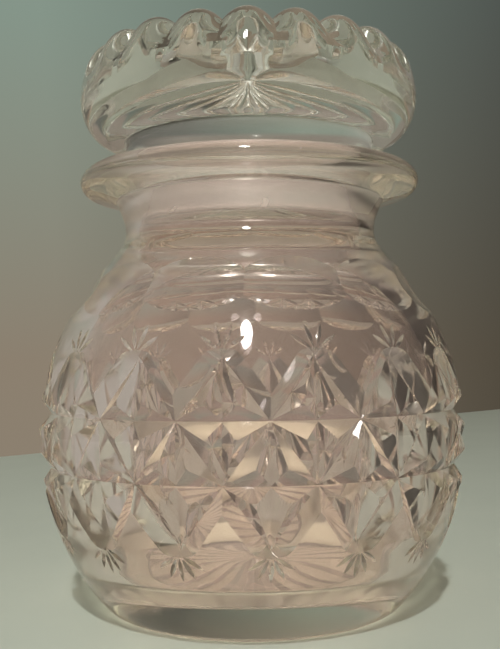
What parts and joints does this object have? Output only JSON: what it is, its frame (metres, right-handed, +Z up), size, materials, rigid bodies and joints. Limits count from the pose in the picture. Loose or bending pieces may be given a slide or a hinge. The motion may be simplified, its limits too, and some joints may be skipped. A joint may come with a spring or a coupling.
{
  "type": "powder jar",
  "caption": "Round cut-glass vanity jar for powder, with a waisted neck, a rolled lip and a loose solid glass stopper lid that lifts out.",
  "frame": {"origin": "centre of the ring that the jar stands on, on the table's surface", "axes": "+Z up the jar's axis of turning, -Y towards the front of the jar"},
  "size_m": [0.09, 0.09, 0.119],
  "materials": {
    "jar_glass": "clear cut glass with a faint warm pink tint, polished",
    "lid_glass": "clear glass, nearly neutral, polished, with a ground plug"
  },
  "bodies": {
    "jar": {"jar_body": "jar_glass"},
    "lid": {"lid": "lid_glass"}
  },
  "joints": [
    {"name": "lid_lift", "type": "slide", "parent": "jar", "child": "lid", "axis": [0, 0, 1], "range_m": [0, 0.05]}
  ]
}
